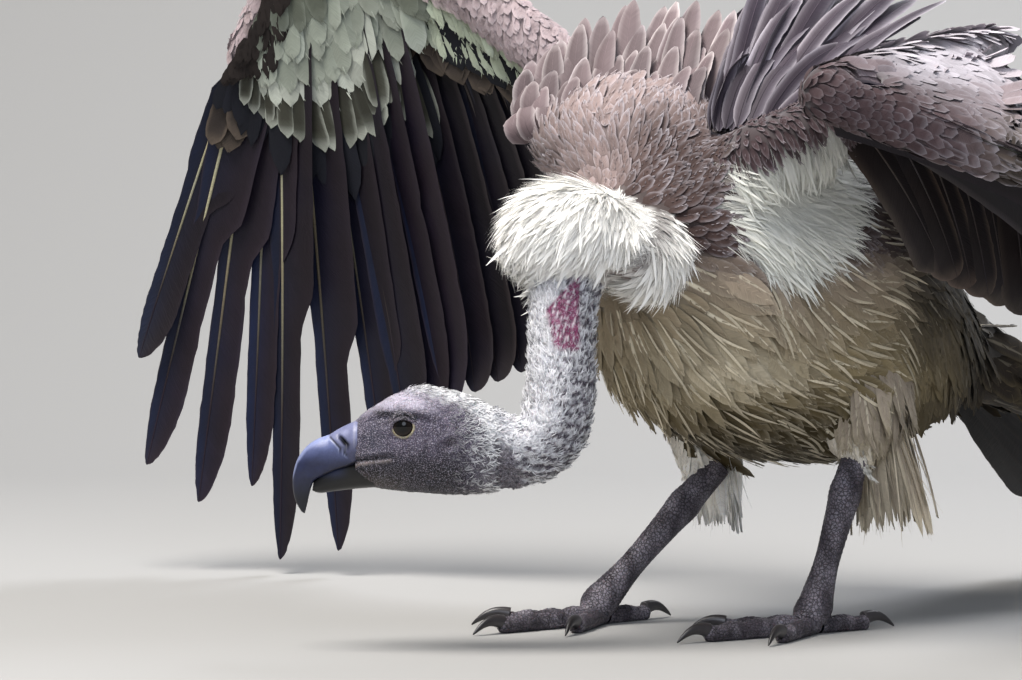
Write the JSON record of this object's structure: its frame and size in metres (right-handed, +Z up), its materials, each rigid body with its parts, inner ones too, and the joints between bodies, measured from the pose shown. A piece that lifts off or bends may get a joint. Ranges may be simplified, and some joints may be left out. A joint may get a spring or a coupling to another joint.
{
  "type": "griffon vulture model",
  "caption": "Life-size griffon vulture standing with its head held low, one wing hanging open and the other half folded, as a still display model.",
  "frame": {"origin": "middle of the overall box at floor level, under the feet", "axes": "+Z up, -Y the way the bird faces, +X the bird's left side; the opened right wing reaches toward -X"},
  "size_m": [1.2372, 0.896, 0.6261],
  "materials": {
    "body_feathers": "soft vaned feathers, brown with pale shafts and edges",
    "flight_feathers": "firm vaned feathers, near black with a faint violet sheen",
    "white_down": "woolly white down",
    "pale_plumes": "loose buff plumes with cream tips",
    "head_skin": "grey-violet skin under very short pale down",
    "cere_skin": "waxy dark slate skin",
    "bill_horn": "polished slate-blue horn, darker at the tip",
    "claw_horn": "dark grey horn",
    "leg_scales": "small raised grey scales, broad plates on the toes",
    "eye": "wet, very dark brown"
  },
  "bodies": {
    "root": {"bill_lower": "bill_horn", "bill_upper": "bill_horn", "cere": "cere_skin", "claw_hind_left": "claw_horn", "claw_hind_right": "claw_horn", "claw_inner_left": "claw_horn", "claw_inner_right": "claw_horn", "claw_middle_left": "claw_horn", "claw_middle_right": "claw_horn", "claw_outer_left": "claw_horn", "claw_outer_right": "claw_horn", "eye_left": "eye", "eye_right": "eye", "forearm_left": "body_feathers", "forearm_right": "body_feathers", "hand_left": "body_feathers", "hand_right": "body_feathers", "head": "head_skin", "mantle": "body_feathers", "mantle_crest": "body_feathers", "neck_bend": "white_down", "neck_lower": "white_down", "neck_upper": "white_down", "primaries_left": "flight_feathers", "primaries_right": "flight_feathers", "ruff": "white_down", "ruff_collar": "white_down", "scapulars_left": "body_feathers", "scapulars_right": "body_feathers", "secondaries_left": "flight_feathers", "secondaries_right": "flight_feathers", "tail": "flight_feathers", "tail_coverts": "body_feathers", "tarsus_left": "leg_scales", "tarsus_right": "leg_scales", "tertials_left": "flight_feathers", "tertials_right": "flight_feathers", "thigh_left": "pale_plumes", "thigh_plumes_left": "pale_plumes", "thigh_plumes_right": "pale_plumes", "thigh_right": "pale_plumes", "toe_hind_left": "leg_scales", "toe_hind_right": "leg_scales", "toe_inner_left": "leg_scales", "toe_inner_right": "leg_scales", "toe_middle_left": "leg_scales", "toe_middle_right": "leg_scales", "toe_outer_left": "leg_scales", "toe_outer_right": "leg_scales", "trunk": "body_feathers", "upper_arm_left": "body_feathers", "upper_arm_right": "body_feathers", "wrist_coverts_left": "body_feathers"}
  },
  "joints": []
}
